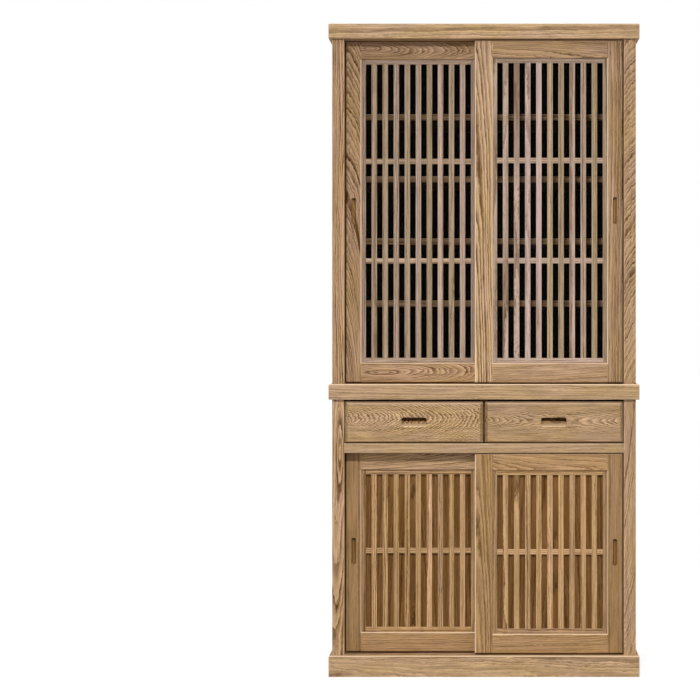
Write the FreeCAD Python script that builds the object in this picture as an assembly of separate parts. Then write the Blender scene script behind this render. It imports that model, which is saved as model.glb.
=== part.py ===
import FreeCAD, Part
import os

# Kitchen cupboard: an upper case with two glazed lattice doors that slide past each other,
# standing on a lower case with two drawers and two panelled lattice doors.
# Millimetres. +X is to the right, -Y is the front, +Z is up, and z = 0 is the floor.
# The origin is on the floor, under the middle of the plinth.

Vector = FreeCAD.Vector

# Whole cupboard
overall_width = 900.0
overall_depth = 450.0
ledge = 10.0
plinth_height = 61.0
lower_case_height = 740.5
counter_thickness = 45.0
upper_case_height = 999.3
cap_thickness = 43.8
running_gap = 0.3
overrun = 5.0

# Edges that the hand meets
board_edge_radius = 4.0
board_lower_edge_radius = 1.5
post_edge_radius = 2.0
shelf_edge_radius = 1.5
door_edge_radius = 4.0

# Plinth frame and the floor that it carries
plinth_rail_width = 45.0
plinth_lip = 12.0
floor_thickness = 24.0

# Case sides
post_width = 35.0
post_depth = 75.0
side_thickness = 20.0
back_thickness = 5.0
back_rebate = 10.0

# Shelves and their pins
shelf_thickness = 18.0
shelf_setback = 100.0
shelf_end_gap = 1.0
upper_shelf_count = 4
first_shelf_rise = 234.0
shelf_pitch = 183.0
lower_shelf_rise = 290.0
pin_diameter = 6.0
pin_head_diameter = 10.0
pin_head_length = 8.0
pin_bury = 12.0
pin_head_flat = 1.0
pin_inset = 35.0

# Dowels between the two cases
dowel_diameter = 8.0
dowel_bury = 20.0
dowel_inset = 40.0

# Rail, board and divider around the drawers
drawer_bay_height = 127.4
middle_rail_height = 27.6
dust_board_thickness = 12.0
divider_thickness = 20.0
divider_setback = 22.0

# Tracks that the doors run in
door_recess = 6.0
track_spacing = 30.0
tongue_thickness = 8.0
bottom_groove_depth = 4.0
top_groove_depth = 15.0
top_tongue_reach = 9.0
door_bottom_gap = 3.8
door_top_gap = 2.0
door_end_gap = 2.4

# Door frames
door_thickness = 24.0
door_overlap = 53.0
outer_stile_width = 45.0
meeting_stile_width = 52.0
bottom_rail_width = 57.1
upper_top_rail_width = 53.0
lower_top_rail_width = 50.0
tenon_length = 24.0
tenon_thickness = 8.0
tenon_shoulder = 12.0

# Lattice, glass and panel inside a door frame
lattice_recess = 5.0
lattice_depth = 10.0
crossbar_setback = 1.5
lattice_side_strip = 12.6
lattice_top_strip = 12.8
lattice_bottom_strip = 14.0
bar_count = 9
bar_width = 15.6
crossbar_height = 15.4
upper_crossbar_count = 2
lower_crossbar_count = 1
glass_thickness = 3.0
panel_thickness = 4.0
infill_bite = 5.0
infill_play = 0.2
infill_groove_play = 1.0

# Finger pull sunk in a door stile
door_pull_width = 12.5
door_pull_height = 77.0
door_pull_depth = 9.0
door_pull_corner = 4.0
door_pull_scoop = 3.5

# Drawers
drawer_side_gap = 2.4
drawer_gap_below = 3.5
drawer_gap_above = 5.5
front_thickness = 22.0
front_step = 0.8
front_edge_margin = 8.5
front_lower_margin = 3.5
front_bevel_depth = 5.0
front_edge_radius = 2.0
box_board_thickness = 12.0
box_side_height = 92.0
box_side_rise = 5.0
box_depth = 380.0
box_housing = 8.0
box_bottom_thickness = 4.0
box_bottom_rise = 9.0
box_bottom_bite = 5.0
drawer_held_length = 65.0

# Runners that carry the drawers
runner_height = 14.0
runner_bite = 6.5
runner_groove_depth = 7.0
runner_rise = 40.0

# Finger pull sunk in a drawer front
drawer_pull_width = 73.0
drawer_pull_height = 24.0
drawer_pull_depth = 13.0
drawer_pull_corner = 6.0
drawer_pull_scoop = 10.0
drawer_pull_lip = 5.0
drawer_pull_undercut = 7.0
drawer_pull_ease = 2.0

# Planes and levels that the pieces share
half_width = overall_width / 2
front_plane = -overall_depth / 2
back_plane = overall_depth / 2
case_half_width = half_width - ledge
case_front = front_plane + ledge
inside_half_width = case_half_width - post_width
shelf_half_space = case_half_width - side_thickness
post_back = case_front + post_depth
inside_back = back_plane - back_thickness
floor_top = plinth_height
counter_bottom = floor_top + lower_case_height
counter_top = counter_bottom + counter_thickness
cap_bottom = counter_top + upper_case_height
cap_top = cap_bottom + cap_thickness
middle_rail_top = counter_bottom - drawer_bay_height
middle_rail_bottom = middle_rail_top - middle_rail_height
door_outer_edge = inside_half_width - door_end_gap
front_track_face = case_front + door_recess
rear_track_face = front_track_face + track_spacing
door_travel = door_outer_edge - door_overlap / 2
drawer_back = case_front + front_thickness - box_housing + box_depth
runner_front = case_front + front_thickness + running_gap

nodes = {}


def box(x0, x1, y0, y1, z0, z1):
    return Part.makeBox(x1 - x0, y1 - y0, z1 - z0, Vector(x0, y0, z0))


def on_side(hand, inner, outer):
    """Left and right x of a stretch given from the middle outwards, on the left (-1) or right (+1)."""
    return sorted((hand * inner, hand * outer))


def side_box(hand, inner, outer, y0, y1, z0, z1):
    x0, x1 = on_side(hand, inner, outer)
    return box(x0, x1, y0, y1, z0, z1)


def joined(first, *others):
    return first.fuse(list(others)).removeSplitter()


def eased(shape, radius, is_eased):
    edges = [edge for edge in shape.Edges if is_eased(edge)]
    return shape.makeFillet(radius, edges)


def runs_along(edge, axis):
    start = edge.Vertexes[0].Point
    end = edge.Vertexes[-1].Point
    return abs((end - start).normalize().dot(axis)) > 1 - Part.Precision.confusion()


def lies_at(value, place):
    return abs(value - place) < Part.Precision.approximation()


def is_upright(edge):
    return runs_along(edge, Vector(0, 0, 1))


def is_crosswise(edge):
    return runs_along(edge, Vector(1, 0, 0))


def groove_between(face_y, z0, z1):
    """The hollow of one door track, with the running gap on both sides of a tongue."""
    middle = face_y + door_thickness / 2
    half_groove = tongue_thickness / 2 + running_gap
    return box(-inside_half_width, inside_half_width, middle - half_groove, middle + half_groove, z0, z1)


def top_grooves(surface_z):
    return [groove_between(face_y, surface_z - overrun, surface_z + top_groove_depth)
            for face_y in (front_track_face, rear_track_face)]


def bottom_grooves(surface_z):
    return [groove_between(face_y, surface_z - bottom_groove_depth, surface_z + overrun)
            for face_y in (front_track_face, rear_track_face)]


def thick_board(z0, z1):
    """The cap or the counter: a full-size board, rounded above and at its corners and just eased below."""
    slab = box(-half_width, half_width, front_plane, back_plane, z0, z1)
    slab = eased(slab, board_edge_radius, lambda edge: not lies_at(edge.CenterOfMass.z, z0))
    return eased(slab, board_lower_edge_radius, lambda edge: lies_at(edge.CenterOfMass.z, z0))


def dowel_places():
    """Middles of the dowels: one through each front post and one through each side near the back."""
    post_middle = (inside_half_width + case_half_width) / 2
    side_middle = case_half_width - side_thickness / 2
    places = []
    for hand in (-1, 1):
        places.append((hand * post_middle, (case_front + post_back) / 2))
        places.append((hand * side_middle, inside_back - dowel_inset))
    return places


def make_dowels():
    """Dowels that stand in the counter and hold the upper case in place."""
    return [Part.makeCylinder(dowel_diameter / 2, 2 * dowel_bury, Vector(x, y, counter_top - dowel_bury))
            for x, y in dowel_places()]


def make_plinth():
    """A mitred frame of four rails, rebated inside so that the floor drops in flush with its top."""
    ring = box(-half_width, half_width, front_plane, back_plane, 0, plinth_height)
    ring = eased(ring, board_edge_radius, lambda edge: edge.CenterOfMass.z > 0)
    inner_x = half_width - plinth_rail_width
    inner_y = back_plane - plinth_rail_width
    floor_space = make_floor_blank()
    corners = [(-1, -1), (1, -1), (1, 1), (-1, 1)]
    sides = ["plinth_front", "plinth_right", "plinth_back", "plinth_left"]
    for index, name in enumerate(sides):
        here = corners[index]
        there = corners[(index + 1) % len(corners)]
        outline = [Vector(here[0] * half_width, here[1] * back_plane, 0),
                   Vector(there[0] * half_width, there[1] * back_plane, 0),
                   Vector(there[0] * inner_x, there[1] * inner_y, 0),
                   Vector(here[0] * inner_x, here[1] * inner_y, 0)]
        mitred = Part.Face(Part.makePolygon(outline + outline[:1])).extrude(Vector(0, 0, plinth_height))
        nodes[name] = ring.common(mitred).cut(floor_space)


def make_floor_blank():
    reach_x = half_width - plinth_lip
    reach_y = back_plane - plinth_lip
    return box(-reach_x, reach_x, -reach_y, reach_y, floor_top - floor_thickness, floor_top)


def make_wide_boards():
    """Floor, counter and cap, with the tracks of the sliding doors cut in them."""
    nodes["lower_floor"] = make_floor_blank().cut(bottom_grooves(floor_top))
    counter = thick_board(counter_bottom, counter_top)
    nodes["counter_board"] = counter.cut(bottom_grooves(counter_top) + make_dowels())
    nodes["cap_board"] = thick_board(cap_bottom, cap_top).cut(top_grooves(cap_bottom))


def make_posts_and_sides():
    """Front posts, side panels behind them, and thin backs let into rebates."""
    levels = {"lower": (floor_top, counter_bottom), "upper": (counter_top, cap_bottom)}
    for level, (z0, z1) in levels.items():
        for word, hand in (("left", -1), ("right", 1)):
            post = side_box(hand, inside_half_width, case_half_width, case_front, post_back, z0, z1)
            post = eased(post, post_edge_radius,
                         lambda edge: is_upright(edge) and lies_at(edge.CenterOfMass.y, case_front))
            side = side_box(hand, shelf_half_space, case_half_width, post_back, back_plane, z0, z1)
            rebate = side_box(hand, 0, shelf_half_space + back_rebate, inside_back, back_plane, z0, z1)
            side = side.cut(rebate)
            if level == "upper":
                post = post.cut(make_dowels())
                side = side.cut(make_dowels())
            nodes[f"{level}_{word}_post"] = post
            nodes[f"{level}_{word}_side"] = side.cut(make_pin_shanks(level))
        reach = shelf_half_space + back_rebate
        nodes[f"{level}_back_panel"] = box(-reach, reach, inside_back, back_plane, z0, z1)


def shelf_middles(level):
    """Heights of the middles of the shelves in one case."""
    if level == "lower":
        return [floor_top + lower_shelf_rise]
    return [counter_top + first_shelf_rise + shelf_pitch * index for index in range(upper_shelf_count)]


def shelf_front():
    return front_plane + shelf_setback


def pin_places(level):
    """Hand, y and height of the middle of each shelf pin."""
    drop = shelf_thickness / 2 + pin_head_diameter / 2 - pin_head_flat
    rows = (shelf_front() + pin_inset, inside_back - pin_inset)
    return [(hand, y, z - drop) for z in shelf_middles(level) for y in rows for hand in (-1, 1)]


def pin_shank(hand, y, z):
    start = Vector(hand * shelf_half_space, y, z)
    return Part.makeCylinder(pin_diameter / 2, pin_bury, start, Vector(hand, 0, 0))


def make_pin_shanks(level):
    return [pin_shank(hand, y, z) for hand, y, z in pin_places(level)]


def make_shelf_pin(hand, y, z):
    """A round shank for the hole in the side, and a thicker head whose flat top carries the shelf."""
    start = Vector(hand * shelf_half_space, y, z)
    head = Part.makeCylinder(pin_head_diameter / 2, pin_head_length, start, Vector(-hand, 0, 0))
    flat = z + pin_head_diameter / 2 - pin_head_flat
    shaving = box(start.x - pin_head_length, start.x + pin_head_length,
                  y - pin_head_diameter, y + pin_head_diameter, flat, flat + overrun)
    return joined(head.cut(shaving), pin_shank(hand, y, z))


def make_shelves():
    reach = shelf_half_space - shelf_end_gap
    pins = []
    for level in ("upper", "lower"):
        for index, middle in enumerate(shelf_middles(level)):
            board = box(-reach, reach, shelf_front(), inside_back,
                        middle - shelf_thickness / 2, middle + shelf_thickness / 2)
            board = eased(board, shelf_edge_radius,
                          lambda edge: is_crosswise(edge) and lies_at(edge.CenterOfMass.y, shelf_front()))
            nodes[f"upper_shelf_{index + 1}" if level == "upper" else "lower_shelf"] = board
        pins += [make_shelf_pin(hand, y, z) for hand, y, z in pin_places(level)]
    nodes["shelf_pins"] = Part.makeCompound(pins)
    nodes["case_dowels"] = Part.makeCompound(make_dowels())


def make_drawer_bay():
    """Front rail over the lower doors, the board behind it, and the divider between the drawers."""
    rail = box(-inside_half_width, inside_half_width, case_front, post_back,
               middle_rail_bottom, middle_rail_top)
    rail = eased(rail, post_edge_radius,
                 lambda edge: is_crosswise(edge) and lies_at(edge.CenterOfMass.y, case_front))
    nodes["middle_rail"] = rail.cut(top_grooves(middle_rail_bottom))
    nodes["dust_board"] = box(-shelf_half_space, shelf_half_space, post_back, inside_back,
                              middle_rail_top - dust_board_thickness, middle_rail_top)
    nodes["drawer_divider"] = box(-divider_thickness / 2, divider_thickness / 2,
                                  case_front + divider_setback + running_gap, inside_back,
                                  middle_rail_top, counter_bottom)


def runner_level():
    """Underside of the runners."""
    return middle_rail_top + drawer_gap_below + box_side_rise + runner_rise


def make_runners():
    """Strips on the sides and on the divider that the grooves in the drawer sides hang on."""
    z0 = runner_level()
    z1 = z0 + runner_height
    outer_tip = box_outer_side() - runner_bite
    inner_tip = box_inner_side() + runner_bite
    strips = []
    for hand in (-1, 1):
        fixed_part = side_box(hand, inside_half_width, shelf_half_space, post_back, inside_back, z0, z1)
        tongue = side_box(hand, outer_tip, inside_half_width, runner_front, inside_back, z0, z1)
        strips.append(joined(fixed_part, tongue))
        strips.append(side_box(hand, divider_thickness / 2, inner_tip, runner_front, inside_back, z0, z1))
    nodes["drawer_runners"] = Part.makeCompound(strips)


def box_outer_side():
    return inside_half_width - drawer_side_gap


def box_inner_side():
    return divider_thickness / 2 + drawer_side_gap


def rounded_block(x0, x1, y0, y1, z0, z1, corner):
    """A block along Y whose four long edges are rounded."""
    block = box(x0, x1, y0, y1, z0, z1)
    return eased(block, corner, lambda edge: runs_along(edge, Vector(0, 1, 0)))


def drawer_pull_hollow(middle_x, middle_z, face_y):
    """Scooped below, undercut above, so that fingers hook behind the upper lip."""
    x0 = middle_x - drawer_pull_width / 2
    x1 = middle_x + drawer_pull_width / 2
    z0 = middle_z - drawer_pull_height / 2
    z1 = middle_z + drawer_pull_height / 2
    back = face_y + drawer_pull_depth
    mouth = rounded_block(x0, x1, face_y - overrun, back, z0, z1, drawer_pull_corner)
    slope = box(x0 - overrun, x1 + overrun, back - drawer_pull_scoop, back + overrun,
                z0 - overrun, z0 + drawer_pull_scoop)
    scoop = Part.makeCylinder(drawer_pull_scoop, drawer_pull_width + 2 * overrun,
                              Vector(x0 - overrun, back - drawer_pull_scoop, z0 + drawer_pull_scoop),
                              Vector(1, 0, 0))
    mouth = mouth.cut(slope.cut(scoop))
    undercut = box(x0 + drawer_pull_corner, x1 - drawer_pull_corner, face_y + drawer_pull_lip, back,
                   middle_z, z1 + drawer_pull_undercut)
    return joined(mouth, undercut)


def drawer_front_blank(x0, x1, z0, z1, face_y):
    """A board with a bevel round its face, narrow below, and a field that stands a step above the bevel."""
    back_y = face_y + front_thickness
    bevel_top = face_y + front_step
    bevel_foot = bevel_top + front_bevel_depth
    field_x0 = x0 + front_edge_margin
    field_x1 = x1 - front_edge_margin
    field_z0 = z0 + front_lower_margin
    field_z1 = z1 - front_edge_margin
    board = rounded_block(x0, x1, bevel_top, back_y, z0, z1, front_edge_radius)
    bevel = Part.makeWedge(field_x0, bevel_top, field_z0, z0, x0, field_x1, bevel_foot, field_z1, z1, x1)
    bevelled = board.common(joined(bevel, box(x0, x1, bevel_foot, back_y, z0, z1)))
    return joined(bevelled, box(field_x0, field_x1, face_y, bevel_top, field_z0, field_z1))


def make_drawer(word, hand):
    z0 = middle_rail_top + drawer_gap_below
    z1 = counter_bottom - drawer_gap_above
    face_y = case_front
    front_back = face_y + front_thickness
    x0, x1 = on_side(hand, drawer_side_gap, box_outer_side())

    side_z0 = z0 + box_side_rise
    side_z1 = side_z0 + box_side_height
    side_y0 = front_back - box_housing
    groove_z0 = runner_level() - running_gap
    groove_z1 = groove_z0 + runner_height + 2 * running_gap
    panel_z0 = side_z0 + box_bottom_rise
    panel_z1 = panel_z0 + box_bottom_thickness
    outer = box_outer_side()
    inner = box_inner_side()

    panel = side_box(hand, inner + box_board_thickness - box_bottom_bite,
                     outer - box_board_thickness + box_bottom_bite,
                     front_back - box_bottom_bite, drawer_back, panel_z0, panel_z1)
    outer_side = side_box(hand, outer - box_board_thickness, outer, side_y0, drawer_back, side_z0, side_z1)
    outer_groove = side_box(hand, outer - runner_groove_depth, outer + overrun,
                            runner_front - running_gap, drawer_back + overrun, groove_z0, groove_z1)
    inner_side = side_box(hand, inner, inner + box_board_thickness, side_y0, drawer_back, side_z0, side_z1)
    inner_groove = side_box(hand, inner - overrun, inner + runner_groove_depth,
                            runner_front - running_gap, drawer_back + overrun, groove_z0, groove_z1)
    back = side_box(hand, inner + box_board_thickness, outer - box_board_thickness,
                    drawer_back - box_board_thickness, drawer_back, panel_z1, side_z1)

    middle_x = (x0 + x1) / 2
    middle_z = (z0 + z1) / 2
    front = drawer_front_blank(x0, x1, z0, z1, face_y)
    front = front.cut([drawer_pull_hollow(middle_x, middle_z, face_y), outer_side, inner_side, panel])

    def is_pull_rim(edge):
        centre = edge.CenterOfMass
        is_level = abs(centre.z - middle_z) < drawer_pull_height
        return is_level and abs(centre.x - middle_x) < drawer_pull_width and lies_at(centre.y, face_y)

    nodes[f"{word}_drawer_front"] = eased(front, drawer_pull_ease, is_pull_rim)
    nodes[f"{word}_drawer_sides"] = Part.makeCompound([outer_side.cut([outer_groove, panel]),
                                                       inner_side.cut([inner_groove, panel])])
    nodes[f"{word}_drawer_back"] = back
    nodes[f"{word}_drawer_bottom"] = panel


def door_pull_hollow(middle_x, middle_z, face_y):
    """An upright slot with rounded corners and a softened bottom."""
    slot = rounded_block(middle_x - door_pull_width / 2, middle_x + door_pull_width / 2,
                         face_y - overrun, face_y + door_pull_depth,
                         middle_z - door_pull_height / 2, middle_z + door_pull_height / 2,
                         door_pull_corner)
    return eased(slot, door_pull_scoop,
                 lambda edge: lies_at(edge.CenterOfMass.y, face_y + door_pull_depth))


def make_lattice(hand, u0, u1, z0, z1, face_y, crossbar_count):
    """Edge strips, upright bars and crossbars; bars and crossbars are halved where they cross."""
    y0 = face_y + lattice_recess
    y1 = y0 + lattice_depth
    halving = (y0 + y1) / 2
    open_u0 = u0 + lattice_side_strip
    open_u1 = u1 - lattice_side_strip
    open_z0 = z0 + lattice_bottom_strip
    open_z1 = z1 - lattice_top_strip
    strips = [side_box(hand, u0, open_u0, y0, y1, z0, z1),
              side_box(hand, open_u1, u1, y0, y1, z0, z1),
              side_box(hand, open_u0, open_u1, y0, y1, z0, open_z0),
              side_box(hand, open_u0, open_u1, y0, y1, open_z1, z1)]

    gap = (open_u1 - open_u0 - bar_count * bar_width) / (bar_count + 1)
    bar_starts = [open_u0 + gap + index * (bar_width + gap) for index in range(bar_count)]
    bay = (open_z1 - open_z0 - crossbar_count * crossbar_height) / (crossbar_count + 1)
    crossbar_starts = [open_z0 + bay + index * (bay + crossbar_height) for index in range(crossbar_count)]

    bar_notches = [side_box(hand, open_u0, open_u1, halving, y1, start, start + crossbar_height)
                   for start in crossbar_starts]
    bars = [side_box(hand, start, start + bar_width, y0, y1, open_z0, open_z1).cut(bar_notches)
            for start in bar_starts]
    bar_beds = [side_box(hand, start, start + bar_width, y0, halving, z0, z1) for start in bar_starts]
    crossbars = [side_box(hand, open_u0, open_u1, y0 + crossbar_setback, y1,
                          start, start + crossbar_height).cut(bar_beds)
                 for start in crossbar_starts]
    return Part.makeCompound(strips + bars + crossbars)


def make_door(name, hand, face_y, z0, z1, top_rail_width, crossbar_count, infill, infill_thickness):
    """One sliding door. Lengths u run from the middle of the cupboard outwards."""
    back_y = face_y + door_thickness
    middle_y = face_y + door_thickness / 2
    tongue_y0 = middle_y - tongue_thickness / 2
    tongue_y1 = middle_y + tongue_thickness / 2
    tongue_z0 = z0 - door_bottom_gap - bottom_groove_depth + running_gap
    tongue_z1 = z1 + door_top_gap + top_tongue_reach
    u0 = -door_overlap / 2
    u1 = door_outer_edge
    frame_u0 = u0 + meeting_stile_width
    frame_u1 = u1 - outer_stile_width
    frame_z0 = z0 + bottom_rail_width
    frame_z1 = z1 - top_rail_width

    infill_y0 = face_y + lattice_recess + lattice_depth + infill_play
    infill_y1 = infill_y0 + infill_thickness
    bite = infill_bite + infill_groove_play
    groove = side_box(hand, frame_u0 - bite, frame_u1 + bite, infill_y0 - infill_play,
                      infill_y1 + infill_play, frame_z0 - bite, frame_z1 + bite)

    shell = side_box(hand, u0, u1, face_y, back_y, z0, z1)
    middle = side_box(hand, frame_u0, frame_u1, face_y - overrun, back_y + overrun, frame_z0, frame_z1)
    shell = shell.cut(middle)
    shell = eased(shell, door_edge_radius, lambda edge: lies_at(edge.CenterOfMass.y, face_y))

    def part_of_shell(inner, outer, low, high):
        return shell.common(side_box(hand, inner, outer, face_y, back_y, low, high))

    def tenon_pair(rail_z0, rail_z1):
        return side_box(hand, frame_u0 - tenon_length, frame_u1 + tenon_length,
                        middle_y - tenon_thickness / 2, middle_y + tenon_thickness / 2,
                        rail_z0 + tenon_shoulder, rail_z1 - tenon_shoulder)

    bottom_tenons = tenon_pair(z0, frame_z0)
    top_tenons = tenon_pair(frame_z1, z1)

    def stile(inner, outer):
        tongue = side_box(hand, inner, outer, tongue_y0, tongue_y1, tongue_z0, tongue_z1)
        blank = joined(part_of_shell(inner, outer, z0, z1), tongue)
        return blank.cut([groove, bottom_tenons, top_tenons])

    def rail(rail_z0, rail_z1, tongue_start, tongue_end, tenons):
        tongue = side_box(hand, frame_u0, frame_u1, tongue_y0, tongue_y1, tongue_start, tongue_end)
        blank = joined(part_of_shell(frame_u0, frame_u1, rail_z0, rail_z1), tongue)
        return joined(blank.cut(groove), tenons)

    pull = door_pull_hollow(hand * (frame_u1 + u1) / 2, (frame_z0 + frame_z1) / 2, face_y)
    nodes[f"{name}_outer_stile"] = stile(frame_u1, u1).cut(pull)
    nodes[f"{name}_meeting_stile"] = stile(u0, frame_u0)
    nodes[f"{name}_bottom_rail"] = rail(z0, frame_z0, tongue_z0, z0, bottom_tenons)
    nodes[f"{name}_top_rail"] = rail(frame_z1, z1, z1, tongue_z1, top_tenons)
    nodes[f"{name}_lattice"] = make_lattice(hand, frame_u0, frame_u1, frame_z0, frame_z1,
                                            face_y, crossbar_count)
    nodes[f"{name}_{infill}"] = side_box(hand, frame_u0 - infill_bite, frame_u1 + infill_bite,
                                         infill_y0, infill_y1,
                                         frame_z0 - infill_bite, frame_z1 + infill_bite)


def make_doors():
    """The left doors run in the rear track and the right doors in the front one."""
    tracks = (("left", -1, rear_track_face), ("right", 1, front_track_face))
    for word, hand, face_y in tracks:
        make_door(f"upper_{word}_door", hand, face_y,
                  counter_top + door_bottom_gap, cap_bottom - door_top_gap,
                  upper_top_rail_width, upper_crossbar_count, "glass", glass_thickness)
        make_door(f"lower_{word}_door", hand, face_y,
                  floor_top + door_bottom_gap, middle_rail_bottom - door_top_gap,
                  lower_top_rail_width, lower_crossbar_count, "panel", panel_thickness)


def print_travel():
    drawer_travel = drawer_back - runner_front - drawer_held_length
    print("door travel", round(door_travel, 2), "drawer travel", round(drawer_travel, 2))
    print("overall height", cap_top, "nodes", len(nodes))


make_plinth()
make_wide_boards()
make_posts_and_sides()
make_shelves()
make_drawer_bay()
make_runners()
make_drawer("left", -1)
make_drawer("right", 1)
make_doors()
print_travel()

os.makedirs("parts", exist_ok=True)
for node_name, shape in nodes.items():
    shape.exportStep(f"parts/{node_name}.step")
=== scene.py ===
"""Looks of the kitchen cupboard: ash boards, slatted lattices, smoked glass, and a plain studio."""
import math
import random
from dataclasses import dataclass

import bpy
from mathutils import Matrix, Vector


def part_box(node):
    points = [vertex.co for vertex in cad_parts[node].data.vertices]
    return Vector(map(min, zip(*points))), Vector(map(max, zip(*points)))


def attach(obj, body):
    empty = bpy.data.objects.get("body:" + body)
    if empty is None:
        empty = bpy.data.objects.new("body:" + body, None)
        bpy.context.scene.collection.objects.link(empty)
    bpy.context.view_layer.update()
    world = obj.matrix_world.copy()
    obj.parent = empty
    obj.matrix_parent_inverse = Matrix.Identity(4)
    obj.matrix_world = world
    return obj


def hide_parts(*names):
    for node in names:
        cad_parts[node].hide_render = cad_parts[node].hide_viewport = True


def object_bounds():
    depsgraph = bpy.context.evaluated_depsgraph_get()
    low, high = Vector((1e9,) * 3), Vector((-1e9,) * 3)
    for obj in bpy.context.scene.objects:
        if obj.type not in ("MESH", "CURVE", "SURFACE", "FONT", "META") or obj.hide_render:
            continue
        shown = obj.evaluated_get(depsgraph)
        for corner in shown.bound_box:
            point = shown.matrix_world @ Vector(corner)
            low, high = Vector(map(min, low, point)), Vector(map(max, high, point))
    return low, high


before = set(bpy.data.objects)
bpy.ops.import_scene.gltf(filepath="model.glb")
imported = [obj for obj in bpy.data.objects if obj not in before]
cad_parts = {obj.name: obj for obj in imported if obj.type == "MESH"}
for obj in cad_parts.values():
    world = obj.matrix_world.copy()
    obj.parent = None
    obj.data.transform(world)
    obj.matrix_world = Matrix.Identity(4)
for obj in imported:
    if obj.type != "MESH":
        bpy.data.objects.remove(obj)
cad_low, cad_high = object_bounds()

MM = 0.001
QUARTER_TURN = math.pi / 2
DOORS = ("upper_left_door", "upper_right_door", "lower_left_door", "lower_right_door")

# Kinds of node that come often.
MATH = "ShaderNodeMath"
VECTOR_MATH = "ShaderNodeVectorMath"
MAP_RANGE = "ShaderNodeMapRange"
NOISE = "ShaderNodeTexNoise"
COMBINE = "ShaderNodeCombineXYZ"
SEPARATE = "ShaderNodeSeparateXYZ"
MIX = "ShaderNodeMix"
# The colour sockets of a mix go by number: its two inputs and its output.
FROM, TO, MIXED = 6, 7, 2


def linear(code):
    """A colour as #rrggbb, turned from sRGB to linear values with full opacity."""
    values = []
    for start in (1, 3, 5):
        share = int(code[start:start + 2], 16) / 255
        values.append(share / 12.92 if share <= 0.04045 else ((share + 0.055) / 1.055) ** 2.4)
    return (*values, 1.0)


WHITE = linear("#ffffff")


def add(tree, kind, inputs=(), **settings):
    """Adds one node with its settings, and gives a value or a link to its inputs.

    They go by name or number, or in their order. A node stands for its first output, and a list for a
    link from each thing in it.
    """
    made = tree.nodes.new(kind)
    for name, value in settings.items():
        setattr(made, name, value)
    for name, value in inputs.items() if isinstance(inputs, dict) else enumerate(inputs):
        for source in value if isinstance(value, list) else [value]:
            if isinstance(source, bpy.types.Node):
                source = source.outputs[0]
            if isinstance(source, bpy.types.NodeSocket):
                tree.links.new(source, made.inputs[name])
            else:
                made.inputs[name].default_value = source
    return made


def add_sockets(tree, way, kind, *names):
    """Gives a node group one more input or output for each name."""
    for name in names:
        tree.interface.new_socket(name, in_out=way, socket_type=kind)


def empty_material(name):
    material = bpy.data.materials.new(name)
    material.use_nodes = True
    material.node_tree.nodes.clear()
    return material


def paint(node, material):
    """Gives a carried-over node one material."""
    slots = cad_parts[node].data.materials
    slots.clear()
    slots.append(material)


# The wood

# Sizes of the figure's features in millimetres, across the grain and along it.
SLOW_SWAY = (170, 620)
QUICK_SWAY = (26, 110)
RAGGED_EDGE = (5, 13)
LINE_BREAKS = (9, 55)
FIBRES = (5.5, 95)
CLOUDS = (34, 170)
# Open pores are well under a millimetre wide. They are drawn coarser, so that they show.
PORE_DASHES = (2.4, 16)
# How far the quick sway and the ragged edge move the rings.
QUICK_REACH = 6.0 * MM
RAGGED_REACH = 2.6 * MM
# Broad and narrow years: by how many rings the count runs ahead, and the scale of that over the rings.
RINGS_AHEAD = 1.8
YEARS_SCALE = 0.45
# Where in a ring's width its dark line has faded, and where it starts to rise again.
LINE_FADED = 0.72
LINE_RISES = 0.8
# How much of its darkness the faintest ring loses.
FAINTEST_LOSS = 0.65


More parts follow.
